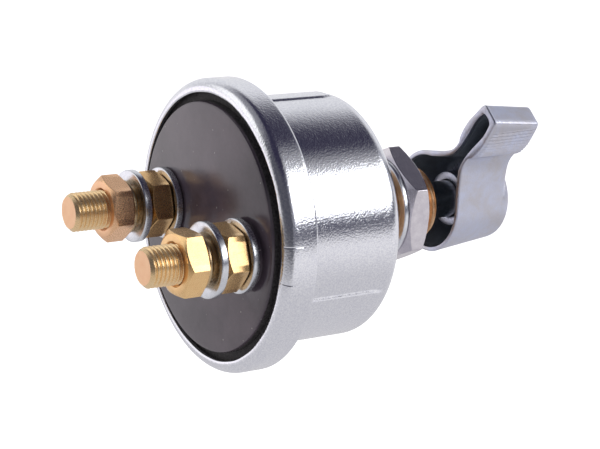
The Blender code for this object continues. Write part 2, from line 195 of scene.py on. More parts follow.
def even_angles(count):
    return np.arange(count) * TAU / count


def finish_piece(obj, body, nodes):
    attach(obj, body)
    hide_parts(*nodes)
    return obj


def joined(parts):
    """Several (points, faces, material index) as one."""
    points, faces, indices, offset = [], [], [], 0
    for p, f, index in parts:
        points.append(p)
        faces += [tuple(v + offset for v in face) for face in f]
        indices += [index] * len(f)
        offset += len(p)
    return np.concatenate(points), faces, indices


# ------------------------------------------------------------------ materials


class Finish:
    """A Principled material whose patterns are measured in mm on the object."""

    def __init__(self, name, colour, metallic=0.0, roughness=0.4, **sockets):
        self.made = bpy.data.materials.new(name)
        self.made.use_nodes = True
        self.tree = self.made.node_tree
        self.shader = self.tree.nodes["Principled BSDF"]
        self.set("Base Color", (*colour, 1))
        self.set("Metallic", metallic)
        self.set("Roughness", roughness)
        for key, value in sockets.items():
            self.set(key.replace("_", " "), value)
        coordinates = self.tree.nodes.new("ShaderNodeTexCoord")
        scaled = self.tree.nodes.new("ShaderNodeMapping")
        scaled.inputs["Scale"].default_value = (1000, 1000, 1000)
        self.tree.links.new(coordinates.outputs["Object"], scaled.inputs["Vector"])
        self.mm = scaled.outputs["Vector"]
        self.made.diffuse_color = (*colour, 1)

    def set(self, socket, value):
        if isinstance(value, bpy.types.NodeSocket):
            self.tree.links.new(value, self.shader.inputs[socket])
        else:
            self.shader.inputs[socket].default_value = value

    def node(self, kind, values=None, **properties):
        made = self.tree.nodes.new(kind)
        for key, value in properties.items():
            setattr(made, key, value)
        for key, value in (values or {}).items():
            if isinstance(value, bpy.types.NodeSocket):
                self.tree.links.new(value, made.inputs[key])
            else:
                made.inputs[key].default_value = value
        return made

    def stretched(self, x=1.0, y=1.0, z=1.0):
        return self.node("ShaderNodeVectorMath", {0: self.mm, 1: (x, y, z)}, operation="MULTIPLY").outputs[0]

    def noise(self, per_mm, detail=2.0, roughness=0.5, at=None, distortion=0.0):
        return self.node(
            "ShaderNodeTexNoise",
            {"Vector": at or self.mm, "Scale": per_mm, "Detail": detail, "Roughness": roughness, "Distortion": distortion},
        ).outputs["Fac"]

    def cells(self, per_mm, at=None, feature="F1"):
        return self.node(
            "ShaderNodeTexVoronoi", {"Vector": at or self.mm, "Scale": per_mm}, feature=feature
        ).outputs["Distance"]

    def range(self, value, low, high, to_low=0.0, to_high=1.0):
        return self.node(
            "ShaderNodeMapRange",
            {"Value": value, "From Min": low, "From Max": high, "To Min": to_low, "To Max": to_high},
        ).outputs["Result"]

    def math(self, operation, a, b=0.0):
        return self.node("ShaderNodeMath", {0: a, 1: b}, operation=operation).outputs[0]

    def mix(self, factor, a, b):
        made = self.tree.nodes.new("ShaderNodeMix")
        made.data_type = "RGBA"
        for index, value in ((0, factor), (6, a), (7, b)):
            if isinstance(value, bpy.types.NodeSocket):
                self.tree.links.new(value, made.inputs[index])
            elif index:
                made.inputs[index].default_value = (*value, 1)
            else:
                made.inputs[index].default_value = value
        return made.outputs[2]

    def xyz(self):
        return self.node("ShaderNodeSeparateXYZ", {0: self.mm}).outputs

    def radius(self, cx=0.0, cz=0.0):
        x, _, z = self.xyz()
        dx, dz = self.math("SUBTRACT", x, cx), self.math("SUBTRACT", z, cz)
        return self.math("SQRT", self.math("ADD", self.math("MULTIPLY", dx, dx), self.math("MULTIPLY", dz, dz)))

    def bump(self, height, distance_mm, strength=1.0, under=None):
        values = {"Height": height, "Distance": distance_mm * MM, "Strength": strength}
        if under is not None:
            values["Normal"] = under
        made = self.node("ShaderNodeBump", values)
        self.tree.links.new(made.outputs["Normal"], self.shader.inputs["Normal"])
        return made.outputs["Normal"]


def zinc_sheet(name):
    """Bright zinc over drawn steel: a fine orange peel that breaks up its reflections."""
    f = Finish(name, (0.80, 0.81, 0.85), 1.0, 0.15)
    peel = f.noise(0.9, 2.0, 0.5)
    fine = f.noise(2.3, 2.0, 0.58)
    broad = f.noise(0.07, 2.0, 0.5)
    f.set("Base Color", f.mix(f.range(fine, 0.3, 0.7), (0.70, 0.71, 0.78), (0.87, 0.88, 0.91)))
    speck = f.math("ADD", f.math("MULTIPLY", fine, 0.4), f.math("MULTIPLY", broad, 0.6))
    f.set("Roughness", f.range(speck, 0.32, 0.68, 0.10, 0.20))
    f.bump(f.math("ADD", f.math("MULTIPLY", peel, 0.22), f.math("MULTIPLY", fine, 0.78)), 0.072, 0.85)
    return f.made


def phenolic(name):
    """Black moulding with a satin skin, grey bloom and a little dust."""
    f = Finish(name, (0.05, 0.045, 0.048), 0.0, 0.3, IOR=1.62)
    bloom = f.noise(0.09, 4.0, 0.6)
    fine = f.noise(2.2, 3.0, 0.6)
    dark = f.mix(f.range(bloom, 0.3, 0.7), (0.088, 0.067, 0.086), (0.158, 0.122, 0.150))
    dust = f.range(f.cells(0.42), 0.06, 0.10, 1.0, 0.0)
    thin = f.range(f.noise(0.4), 0.5, 0.6)
    f.set("Base Color", f.mix(f.math("MULTIPLY", dust, thin), dark, (0.46, 0.43, 0.42)))
    f.set("Roughness", f.range(fine, 0.3, 0.7, 0.17, 0.26))
    f.bump(f.math("ADD", fine, f.math("MULTIPLY", bloom, 0.6)), 0.012, 0.4)
    return f.made


def phenolic_rough(name):
    """The same moulding where its rim was left rough under the rolled edge."""
    f = Finish(name, (0.03, 0.028, 0.029), 0.0, 0.7)
    grain = f.noise(1.6, 4.0, 0.7)
    f.set("Base Color", f.mix(f.range(grain, 0.35, 0.75), (0.014, 0.012, 0.014), (0.13, 0.12, 0.12)))
    f.set("Roughness", f.range(grain, 0.3, 0.7, 0.55, 0.85))
    f.bump(grain, 0.16, 0.9)
    return f.made


def machined(name, light, dark, roughness, centre, lines=5.0, depth=0.012, tarnish=0.0, spread=0.04, metallic=1.0):
    """A turned or milled metal face with fine rings about centre, in mm. spread is how
    far its roughness goes either way, from one grain to the next. Under 1, metallic
    stands for the dull film on bare brass."""
    f = Finish(name, light, metallic, roughness)
    r = f.radius(*centre)
    ring = f.node("ShaderNodeCombineXYZ", {0: f.math("MULTIPLY", r, lines), 1: 0.0, 2: 0.0}).outputs[0]
    rings = f.noise(1.0, 2.0, 0.6, at=ring)
    mottle = f.noise(0.55, 3.0, 0.6)
    fine = f.noise(5.0, 2.0, 0.5)
    colour = f.mix(f.range(mottle, 0.3, 0.72), dark, light)
    if tarnish:
        stain = f.range(f.noise(0.9, 4.0, 0.65, distortion=0.6), 0.5, 0.72)
        colour = f.mix(f.math("MULTIPLY", stain, tarnish), colour, tuple(c * 0.42 for c in dark))
    f.set("Base Color", colour)
    f.set("Roughness", f.range(fine, 0.36, 0.64, roughness - spread, roughness + spread))
    f.bump(f.math("ADD", f.math("MULTIPLY", rings, 0.7), f.math("MULTIPLY", fine, 0.3)), depth, 0.8)
    return f.made


def die_cast(name, light=(0.62, 0.65, 0.79), dark=(0.59, 0.58, 0.63), roughness=0.38, grit=0.1, metallic=1.0):
    """Plated die casting: satin, a little cloudy, with flow marks and a fine grain."""
    f = Finish(name, light, metallic, roughness)
    cloud = f.noise(0.14, 4.0, 0.6, distortion=0.5)
    grain = f.noise(1.7, 3.0, 0.6)
    fine = f.noise(4.5, 2.0, 0.55)
    f.set("Base Color", f.mix(f.range(f.math("ADD", f.math("MULTIPLY", cloud, 0.75), f.math("MULTIPLY", fine, 0.25)), 0.40, 0.60), dark, light))
    f.set("Roughness", f.range(grain, 0.3, 0.7, roughness - 0.08, roughness + 0.1))
    f.bump(f.math("ADD", f.math("MULTIPLY", grain, 0.7), f.math("MULTIPLY", fine, 0.3)), grit, 0.8)
    return f.made


def plain(name, light, dark, metallic, roughness, per_mm=1.2, depth=0.02):
    """For the pieces inside: an even finish with a little grain."""
    f = Finish(name, light, metallic, roughness)
    grain = f.noise(per_mm, 3.0, 0.6)
    f.set("Base Color", f.mix(f.range(grain, 0.3, 0.7), dark, light))
    f.set("Roughness", f.range(grain, 0.3, 0.7, max(0.05, roughness - 0.06), roughness + 0.06))
    f.bump(grain, depth, 0.7)
    return f.made


# ----------------------------------------------------------------- case cup


def cup():
    inner_r = CUP_R - CUP_WALL
    roll = 2.6
    outer = [(LIP_R, RIM_TOP - 0.12), (LIP_R + 0.12, RIM_TOP)]
    outer += arc(RIM_R - roll, RIM_TOP - roll, roll, 90, 0, 14)
    outer += arc(RIM_R - 0.8, DRUM_LENGTH + 0.8, 0.8, 0, -90, 7)
    outer += arc(CUP_R + 0.9, DRUM_LENGTH - 0.9, 0.9, 90, 180, 7)
    outer += arc(CUP_R - CORNER_R, CORNER_R, CORNER_R, 0, -90, 14)
    outer += [(STEM_R + 0.5, 0), (STEM_R + 0.33, 0.15)]
    outer = spaced(outer, 0.6)
    inner = [(STEM_R + 0.33, CUP_WALL)]
    inner += arc(CUP_R - CORNER_R, CORNER_R, CORNER_R - CUP_WALL, -90, 0, 6)
    inner += arc(CUP_R + 0.9, DRUM_LENGTH - 0.9, 0.9 + CUP_WALL, 180, 90, 4)
    inner += [(RIM_R - CUP_WALL, DRUM_LENGTH + CUP_WALL)]
    inner += arc(RIM_R - roll, RIM_TOP - roll, roll - CUP_WALL, 0, 90, 6)
    inner += [(LIP_R + 0.12, RIM_TOP - CUP_WALL), (LIP_R, RIM_TOP - CUP_WALL + 0.12)]
    profile = outer + spaced(inner, 1.5)

    angles = list(even_angles(360))
    for middle in RIB_ANGLES:
        for side in (-1, 1):
            angles += [math.radians(middle + side * (6 + step * 0.16)) % TAU for step in range(-9, 10)]
    for middle in (168.6, 183.0):
        angles += [math.radians(middle + step * 0.12) for step in range(-5, 6)]
    angles = np.unique(np.round(angles, 6))

    def ribs(r, y, theta):
        raised = np.zeros_like(r)
        for middle in RIB_ANGLES:
            off = np.abs((np.degrees(theta) - middle + 180) % 360 - 180)
            across = 1 - smoothstep(4.9, 7.2, off)
            along = smoothstep(3.3, 5.2, y) * (1 - smoothstep(DRUM_LENGTH - 1.0, DRUM_LENGTH + 0.3, y))
            # the front end is round, so its corners fall away first
            along = along * (1 - smoothstep(4.2, 6.6, off) * (1 - smoothstep(4.2, 7.5, y)))
            raised = np.maximum(raised, across * along)
        drum = (r > 26) & (r < 31.5) & (y < DRUM_LENGTH)
        r = r + np.where(drum, raised * RIB_HEIGHT * 0.66, 0)
        # two faint tool marks across the rim
        for middle, low, high in ((168.6, 32.2, 36.0), (183.0, 33.7, 36.1)):
            off = np.abs(np.degrees(theta) - middle)
            mark = (1 - smoothstep(0.12, 0.42, off)) * smoothstep(low - 0.3, low + 0.2, y) * (1 - smoothstep(high, high + 0.3, y))
            r = r - np.where(r > 33.2, mark * 0.11, 0)
        # drawn and rolled by tools that leave it very slightly out of true
        wave = 0.05 * np.sin(3 * theta + 0.7) + 0.035 * np.sin(7 * theta + 2.1) + 0.02 * np.sin(23 * theta)
        rolled = smoothstep(RIM_TOP - 2.2, RIM_TOP, y)
        lip = smoothstep(RIM_R - 1.0, LIP_R, r) * rolled
        return r + lip * wave * 1.4, y - rolled * (0.03 + wave * 0.5)

    points, faces = turned(profile, angles, shape=ribs)
    made = mesh_piece("case_cup_sheet", points, faces, [zinc_sheet("zinc_sheet")], sharp=50)
    return finish_piece(made, "housing", ["case_cup"])


# ------------------------------------------------------------- terminal base


def cut(obj, tool, operation="DIFFERENCE"):
    """Applies a Boolean with tool and removes the tool."""
    modifier = obj.modifiers.new("cut", "BOOLEAN")
    modifier.operation = operation
    modifier.object = tool
    modifier.solver = "EXACT"
    bpy.context.view_layer.update()
    graph = bpy.context.evaluated_depsgraph_get()
    mesh = bpy.data.meshes.new_from_object(obj.evaluated_get(graph))
    obj.modifiers.clear()
    obj.data = mesh
    mesh.name = obj.name
    bpy.data.objects.remove(tool, do_unlink=True)


def rod(name, r, low, high, x=0.0, z=0.0, count=96, materials=()):
    points, faces = turned([(0, high), (r, high), (r, low), (0, low)], even_angles(count), x, z)
    return mesh_piece(name, points, faces, list(materials))


def block(name, low, high, angle=0.0, materials=()):
    corners = [(x, y, z) for x in (low[0], high[0]) for y in (low[1], high[1]) for z in (low[2], high[2])]
    a = math.radians(angle)
    points = [(x * math.cos(a) - z * math.sin(a), y, x * math.sin(a) + z * math.cos(a)) for x, y, z in corners]
    faces = [(0, 1, 3, 2), (4, 6, 7, 5), (0, 4, 5, 1), (2, 3, 7, 6), (0, 2, 6, 4), (1, 5, 7, 3)]
    return mesh_piece(name, points, faces, list(materials))


def base():
    skin, rough = phenolic("phenolic_skin"), phenolic_rough("phenolic_rough")
    profile = [
        (0, BASE_FACE),
        (BASE_FACE_R, BASE_FACE),
        (BASE_FACE_R, 34.7),
        (33.1, 34.7),
        (34.0, 33.6),
        (34.0, 30.6),
        (28.6, 30.6),
        (28.6, LAND_Y),
        (13.4, LAND_Y),
        (13.4, 27.5),
        (3.9, 27.5),
        (3.9, 31.0),
        (0, 31.0),
    ]
    profile = rounded(profile, 0.15, 2, closed=False, radii={1: 0.85, 2: 0.3})
    points, faces = turned(profile, even_angles(240))
    made = mesh_piece("terminal_base_moulding", points, faces, [skin, rough])
    for number, angle in enumerate(RIB_ANGLES):
        cut(made, block(f"key_{number}", (27.6, LAND_Y + 0.4, -1.7), (29.35, 31.2, 1.7), angle), "UNION")
    for number, (sx, sz) in enumerate(((-1, 1), (1, -1))):
        xs, zs = sorted((sx * 5.4, sx * 14.5)), sorted((sz * 5.4, sz * 14.5))
        stop = block(f"stop_{number}", (xs[0], 21.0, zs[0]), (xs[1], LAND_Y + 1, zs[1]))
        cut(stop, rod("clear", 13.3, 19, 26.8))
        cut(made, stop, "UNION")
    for x, inner_y in ((STUD_X, INNER_Y_A), (-STUD_X, INNER_Y_B)):
        out = 1 if x > 0 else -1
        if inner_y - GAP > BASE_FACE + 0.3:
            boss_profile = rounded([(0, inner_y - GAP), (7.6, inner_y - GAP), (7.7, 36.6), (0, 36.6)], 0.25, 3, closed=False)
            points, faces = turned(boss_profile, even_angles(96), x)
            cut(made, mesh_piece("boss", points, faces, []), "UNION")
        pocket = rod("pocket", 6.4, 24.0, 28.3, x)
        far = sorted((x - out * 8, x + out * 5.5))
        cut(pocket, block("half", (far[0], 23, -8), (far[1], 29, 8)), "INTERSECT")
        cut(made, pocket)
        cut(made, rod("hole", 5.1, 27, 40, x))
    mesh = made.data
    for polygon in mesh.polygons:
        r = math.hypot(polygon.center.x, polygon.center.z) / MM
        y = polygon.center.y / MM
        polygon.material_index = 1 if 34.2 < y < 36.6 and r > BASE_FACE_R - 0.2 else 0
    mesh.shade_smooth()
    mesh.set_sharp_from_angle(angle=math.radians(35))
    return finish_piece(made, "housing", ["terminal_base"])


# ------------------------------------------------------------------- threads


def thread(major, pitch, low, high, columns, limit, cx=0.0, cz=0.0, share=0.58):
    """A right-hand 60 degree thread about Y, share of its pitch deep. limit(y) is the
    most its radius may be."""
    depth = share * pitch
    form = ((0.0, 0.0), (0.0625, 0.03), (0.13, 0.16), (0.25, 0.58), (0.345, 0.9), (0.43, 1.0),
            (0.57, 1.0), (0.655, 0.9), (0.75, 0.58), (0.87, 0.16), (0.9375, 0.03))
    turns = int(math.ceil((high - low) / pitch)) + 2
    theta = np.linspace(0, TAU, columns + 1)
    rows_y, rows_r = [], []
    for turn in range(turns):
        for fraction, drop in form:
            y = low - 0.5 * pitch + pitch * (turn + fraction) - pitch * theta / TAU + pitch
            rows_y.append(y)
            rows_r.append(np.full_like(y, major - depth * drop))
    y, r = np.array(rows_y), np.array(rows_r)
    y = np.clip(y, low, high)
    r = np.minimum(r, limit(y))
    points = np.stack([cx + r * np.cos(theta), y, cz + r * np.sin(theta)], axis=-1)
    return points.reshape(-1, 3), grid_faces(len(y), columns + 1, wrap_columns=False)


def stud(letter, x):
    out = 1 if x > 0 else -1
    low, high = 38.0, STUD_TIP
    tip = 3.9

    def limit(y):
        return np.where(y > high - 0.95, tip + (high - y) * 0.96, 99.0)

    side = thread(STUD_R, STUD_PITCH, low, high, 96, limit, x, share=0.5)
    cap_profile = [(tip, high), (tip - 0.6, high), (2.0, high), (0.9, high), (0, high)]
    angles = np.linspace(0, TAU, 97)
    cap = np.array([[(x + r * math.cos(t), y, r * math.sin(t)) for t in angles] for r, y in cap_profile])
    shank_profile = [(STUD_R - 0.1, low), (STUD_R, 37.6), (STUD_R, 28.0), (6.1, 28.0), (6.1, STUD_HEAD_Y + 0.4), (5.7, STUD_HEAD_Y), (0, STUD_HEAD_Y)]
    shank = np.zeros((len(shank_profile), 97, 3))
    for j, (r, y) in enumerate(shank_profile):
        for i, t in enumerate(angles):
            reach = r
            if y < 28.1 and r > 5.2 and out * math.cos(t) > 0:
                reach = min(r, 5.2 / (out * math.cos(t)))
            shank[j, i] = (x + reach * math.cos(t), y, reach * math.sin(t))
    points, faces, indices = joined([
        (*side, 0),
        (cap.reshape(-1, 3), grid_faces(len(cap_profile), 97, wrap_columns=False), 1),
        (shank.reshape(-1, 3), grid_faces(len(shank_profile), 97, wrap_columns=False), 0),
    ])
    body = machined(f"stud_brass_{letter}", (1.0, 0.76, 0.44), (0.98, 0.69, 0.37), 0.29, (x, 0), 6.0, 0.003, metallic=0.74)
    face = machined(f"stud_face_{letter}", (0.99, 0.65, 0.40), (0.95, 0.58, 0.34), 0.42, (x, 0), 7.0, 0.010, metallic=0.85)
    made = mesh_piece(f"stud_{letter}_threaded", points, faces, [body, face], indices, sharp=28)
    return finish_piece(made, "housing", [f"stud_{letter}"])


# ---------------------------------------------------------------------- nuts


def hex_angles(corner):
    """Angles that follow a hexagon with one corner at that angle, dense at its corners."""
    steps = [-30 + d for d in (0, 0.35, 0.7, 1.1, 1.6, 2.4, 4, 7, 11, 16, 22)]
    steps += [0] + [-s for s in reversed(steps)]
    found = [math.radians(corner + 30 + 60 * k + s) for k in range(6) for s in steps]
    return np.unique(np.round(np.mod(found, TAU), 6))


def hex_reach(theta, across, corner):
    """Radius of a hexagon with very slightly rounded corners."""
    off = (np.degrees(theta) - corner) % 60
    a, b = np.cos(np.radians(off - 30)), np.cos(np.radians(np.minimum(off, 60 - off) + 30))
    keen = 190.0
    blend = np.maximum(a, b) + np.log1p(np.exp(-keen * np.abs(a - b))) / keen
    return across / 2 / blend


def nut(name, across, low, high, bore, corner, materials, cx=0.0, face=0.475, sink=0.45, chamfer=30, low_end=None):
    """A hex nut chamfered at both ends, with the chamfer's curve along its mesh lines.
    low_end is (face, chamfer) where its low end has its own."""
    theta = hex_angles(corner)
    reach = hex_reach(theta, across, corner)
    rows = []

    def ring(r, y):
        rows.append(np.stack([cx + r * np.cos(theta), np.zeros_like(theta) + y, r * np.sin(theta)], axis=-1))

    ease = 0.1
    for sign, end in ((1, high), (-1, low)):
        share, angle = (low_end if sign < 0 and low_end else (face, chamfer))
        face_r = share * across
        slope = math.tan(math.radians(angle))
        drop = (reach - face_r) * slope
        part = len(rows)
        ring(bore, end - sign * sink)
        ring(bore + sink, end)
        ring(np.full_like(theta, bore + sink + 0.12), end)
        ring(np.full_like(theta, face_r - ease), end)
        ring(face_r + ease * 0.4 + 0 * theta, end - sign * ease * slope * 0.8)
        for t in (0.25, 0.5, 0.75):
            ring(face_r + (reach - face_r) * t, end - sign * drop * t)
        ring(reach - ease * 0.5, end - sign * (drop - ease * 0.3))
        ring(reach, end - sign * (drop + ease))
        if sign < 0:
            rows[part:] = rows[part:][::-1]
    points = np.concatenate(rows)
    faces = grid_faces(len(rows), len(theta), wrap_rows=True)
    indices = []
    for j in range(len(rows)):
        top_or_bottom = j in (1, 2) or j in (len(rows) - 3, len(rows) - 4)
        indices += [1 if top_or_bottom and len(materials) > 1 else 0] * len(theta)
    return mesh_piece(name, points, faces, materials, indices, sharp=20)


def washer(name, r_in, r_out, low, high, materials, cx=0.0, count=144, soft=0.3, hard=0.1):
    """A stamped washer: one edge pulled round by the punch, the other left sharp."""
    profile = rounded(
        [(r_in, high), (r_out, high), (r_out, low), (r_in, low)], 0.12, 3, radii={1: soft, 2: hard}
    )
    points, faces = turned(profile, even_angles(count), cx)
    return mesh_piece(name, points, faces, materials, sharp=40)


def lock_washer(name, r_in, r_out, low, high, slit, materials, cx):
    """A split spring washer, its two ends sprung slightly apart."""
    gap = 3.2
    theta = np.radians(np.linspace(slit + gap, slit + 360 - gap, 133))
    section = rounded([(r_in, high), (r_out, high - 0.08), (r_out, low + 0.08), (r_in, low)], 0.18, 3)
    # the free ends lean along the axis, one up and one down, inside the washer's height
    lean = 0.10 * (np.linspace(-1, 1, len(theta)) ** 3)
    rows = []
    middle = (low + high) / 2
    for r, y in section:
        squeezed = middle + (y - middle) * 0.86 + lean
        rows.append(np.stack([cx + r * np.cos(theta), squeezed, r * np.sin(theta)], axis=-1))
    points = np.concatenate(rows)
    count = len(theta)
    faces = grid_faces(len(rows), count, wrap_rows=True, wrap_columns=False)
    faces.append(tuple(j * count for j in range(len(rows))))
    faces.append(tuple(j * count + count - 1 for j in reversed(range(len(rows)))))
    return mesh_piece(name, points, faces, materials, sharp=40)


def terminal(letter, x, inner_y, outer_y, inner_corner, outer_corner, slit, tones):
    """inner_y and outer_y are the base-side faces of the stud's two flat washers."""
    stud(letter, x)
    at = (x, 0)
    zinc_face = machined(f"washer_zinc_{letter}", (0.80, 0.82, 0.86), (0.64, 0.66, 0.70), 0.25, at, 3.0, 0.012)
    inner = washer(f"inner_washer_{letter}_plated", 5.1, 8.8, inner_y, inner_y + 1.6, [zinc_face], x)
    finish_piece(inner, "housing", [f"inner_washer_{letter}"])
    outer = washer(f"outer_washer_{letter}_plated", 5.1, 8.9, outer_y, outer_y + 1.7, [zinc_face], x)
    finish_piece(outer, "housing", [f"outer_washer_{letter}"])

    for which, y, corner, tone in (
        ("inner", inner_y + 1.6 + GAP, inner_corner, tones[0]),
        ("outer", outer_y + 1.7 + GAP + 1.6 + GAP, outer_corner, tones[1]),
    ):
        film = 1.0 if tone is BROWNER else 0.8
        flats = machined(f"{which}_nut_brass_{letter}", *tone, 0.27, at, 2.2, 0.002, metallic=film)
        ends = machined(f"{which}_nut_brass_end_{letter}", *tone, 0.32, at, 6.0, 0.006, metallic=film)
        made = nut(f"{which}_nut_{letter}_brass", NUT_AF, y, y + NUT_T, 4.86, corner, [flats, ends], x, low_end=(0.495, 20))
        finish_piece(made, "housing", [f"{which}_nut_{letter}"])

    y = outer_y + 1.7 + GAP + 0.6
    dull = machined(f"lock_bronze_{letter}", (0.66, 0.50, 0.30), (0.50, 0.36, 0.20), 0.3, at, 3.0, 0.010, 0.3)
    spring = lock_washer(f"lock_washer_{letter}_split", 5.1, 6.6, y, y + 1.0, slit, [dull], x)
    finish_piece(spring, "housing", [f"lock_washer_{letter}"])


# --------------------------------------------------------- stem, nut, washer


def stem():
    low, high = -STEM_LENGTH, 0.9
    tip = STEM_R - 1.0

    def limit(y):
        return np.where(y < low + 1.1, tip + (y - low) * 0.92, 99.0)

    side = thread(STEM_R, STEM_PITCH, low, high, 144, limit)
    angles = np.linspace(0, TAU, 145)
    end = [(tip, low), (tip - 0.5, low), (STEM_BORE_R + 0.5, low), (STEM_BORE_R, low + 0.5), (STEM_BORE_R, 3.2), (13.0, 3.2), (13.0, 1.5), (STEM_R - 0.2, 1.5), (STEM_R - 0.2, high)]
    rest = np.array([[(r * math.cos(t), y, r * math.sin(t)) for t in angles] for r, y in end])
    points, faces, indices = joined([
        (*side, 0),
        (rest.reshape(-1, 3), grid_faces(len(end), 145, wrap_columns=False), 0),
    ])
    brass = machined("stem_brass", (0.86, 0.56, 0.33), (0.66, 0.40, 0.21), 0.31, (0, 0), 4.0, 0.008, 0.4, metallic=0.75)
    made = mesh_piece("mounting_stem_threaded", points, faces, [brass], indices, sharp=28)
    finish_piece(made, "housing", ["mounting_stem"])

    steel = machined("nut_steel", (0.70, 0.67, 0.71), (0.60, 0.57, 0.62), 0.25, (0, 0), 2.0, 0.0015, spread=0.02)
    face = machined("nut_steel_end", (0.68, 0.68, 0.74), (0.52, 0.52, 0.58), 0.3, (0, 0), 5.0, 0.006, spread=0.02)
    made = nut("mounting_nut_steel", MOUNT_NUT_AF, MOUNT_NUT_Y - MOUNT_NUT_T, MOUNT_NUT_Y, STEM_R + 0.12, 147.6, [steel, face], 0.0, 0.478, 0.7)
    finish_piece(made, "housing", ["mounting_nut"])

    plated = machined("stem_washer_zinc", (0.84, 0.86, 0.90), (0.70, 0.72, 0.77), 0.22, (0, 0), 3.0, 0.01)
    low = MOUNT_NUT_Y + 0.3
    made = washer("mounting_washer_plated", 9.9, 13.3, low, low + 1.1, [plated], 0.0, 192, 0.3, 0.12)
    finish_piece(made, "housing", ["mounting_washer"])


# --------------------------------------------------------------------- lever


def spline(points, counts):
    """Catmull-Rom points through the given ones, counts[i] of them on stretch i."""
    out = []
    for i in range(len(points) - 1):
        p0, p1, p2, p3 = (np.array(points[k], float) for k in (max(i - 1, 0), i, i + 1, min(i + 2, len(points) - 1)))
        for s in range(counts[i]):
            t = s / counts[i]
            out.append(
                0.5 * (2 * p1 + (p2 - p0) * t + (2 * p0 - 5 * p1 + 4 * p2 - p3) * t * t + (3 * p1 - p0 - 3 * p2 + p3) * t**3)
            )
    out.append(np.array(points[-1], float))
    return out


OUTER_ARM = [(31.0, 3.85), (28.0, 4.15), (25.0, 4.0), (23.2, 3.65), (22.3, 3.4), (21.4, 2.85),
             (20.0, 2.75), (18.4, 2.95), (16.8, 3.6), (15.2, 4.65), (12.4, 6.75), (10.5, 8.4)]
OUTER_COUNTS = [18, 24, 24, 15, 8, 8, 8, 8, 8, 8, 12, 8, 8]
INNER_ARM = [(30.0, 2.3), (24.0, 1.75), (20.2, 1.65), (17.0, 2.15), (15.2, 3.0), (13.2, 4.35), (11.1, 6.0)]
INNER_COUNTS = [8, 12, 16, 10, 8, 6, 6, 6]


def tapered(points, full_r, circle_r, inset):
    """Where the arm runs into the base circle it follows that circle's taper."""
    out = []
    for a, b in points:
        share = 1 - smoothstep(9.0, 22.0, a)
        in_by = (full_r - circle_r) * share
        out.append((a - 0.643 * in_by, b - 0.766 * in_by - inset * (1 - share)))
    return out


def outer_half(circle_r, tip, inset):
    """Half of the lever's outline at one height: (distance along the lever, half width)."""
    scale = (tip - 22.3) / (36.0 - 22.3)
    arm = [(22.3 + (a - 22.3) * scale if a > 22.3 else a, b) for a, b in OUTER_ARM]
    arm = tapered(arm, LEVER_BASE_R, circle_r, inset)
    circle = [
        (circle_r * math.cos(math.radians(t)), circle_r * math.sin(math.radians(t)))
        for t in np.linspace(50, 180, 68)
    ]
    corner = [(tip - 1.3 - inset, 3.42 - inset)]
    head = [(tip - inset, 0), (tip - inset, 1.2), (tip - inset, 2.35 - inset * 0.6), (tip - 0.16 - inset, 2.8 - inset * 0.7), (tip - 0.6 - inset, 3.16 - inset * 0.85)]
    run = spline(corner + arm + circle[:1], OUTER_COUNTS)
    return [np.array(p, float) for p in head] + run + [np.array(p, float) for p in circle[1:]]


def inner_half(circle_r, tip, inset):
    arm = tapered([(a if a < 29 else a - (34.4 - tip), b) for a, b in INNER_ARM], 12.0, circle_r, inset)
    circle = [
        (circle_r * math.cos(math.radians(t)), circle_r * math.sin(math.radians(t)))
        for t in np.linspace(37, 180, 56)
    ]
    head = [(tip - inset, 0), (tip - inset, 0.7), (tip - 0.25 - inset, 1.25 - inset)]
    run = spline([(tip - 0.7 - inset, 1.75 - inset)] + arm + circle[:1], INNER_COUNTS)
    return [np.array(p, float) for p in head] + run + [np.array(p, float) for p in circle[1:]]


def whole_loop(half):
    """Both halves, as an (n, 2) array that starts at the tip's middle."""
    other = [np.array((a, -b)) for a, b in reversed(half[1:-1])]
    return np.array(list(half) + other)


def lever_space(loop, y):
    """(along, across) in the lever's plane to x, y, z in mm."""
    turn = math.radians(LEVER_ANGLE)
    ux, uz = math.cos(turn), math.sin(turn)
    a, b = loop[:, 0], loop[:, 1]
    y = np.zeros(len(a)) + y
    return np.stack([a * ux + b * uz, y, a * uz - b * ux], axis=-1)


def outline_normals(loop):
    ahead = np.roll(loop, -1, axis=0) - np.roll(loop, 1, axis=0)
    normal = np.stack([ahead[:, 1], -ahead[:, 0]], axis=-1)
    normal /= np.maximum(np.linalg.norm(normal, axis=1, keepdims=True), 1e-9)
    # outward: away from the material's middle line
    area = 0.5 * np.sum(loop[:, 0] * np.roll(loop[:, 1], -1) - np.roll(loop[:, 0], -1) * loop[:, 1])
    return normal if area > 0 else -normal


def ridge_height(loop, t):
    """Raised ridges across both grip faces, away from the back edge."""
    along = loop[:, 0]
    on_pad = smoothstep(22.6, 23.4, along) * (1 - smoothstep(32.2, 33.2, along)) * (np.abs(loop[:, 1]) > 2.2)
    window = smoothstep(0.05, 0.11, t) * (1 - smoothstep(0.93, 0.99, t))
    wave = np.abs(((along / 1.12) % 1.0) * 2 - 1)
    return (wave - 0.55) * 0.42 * on_pad * window


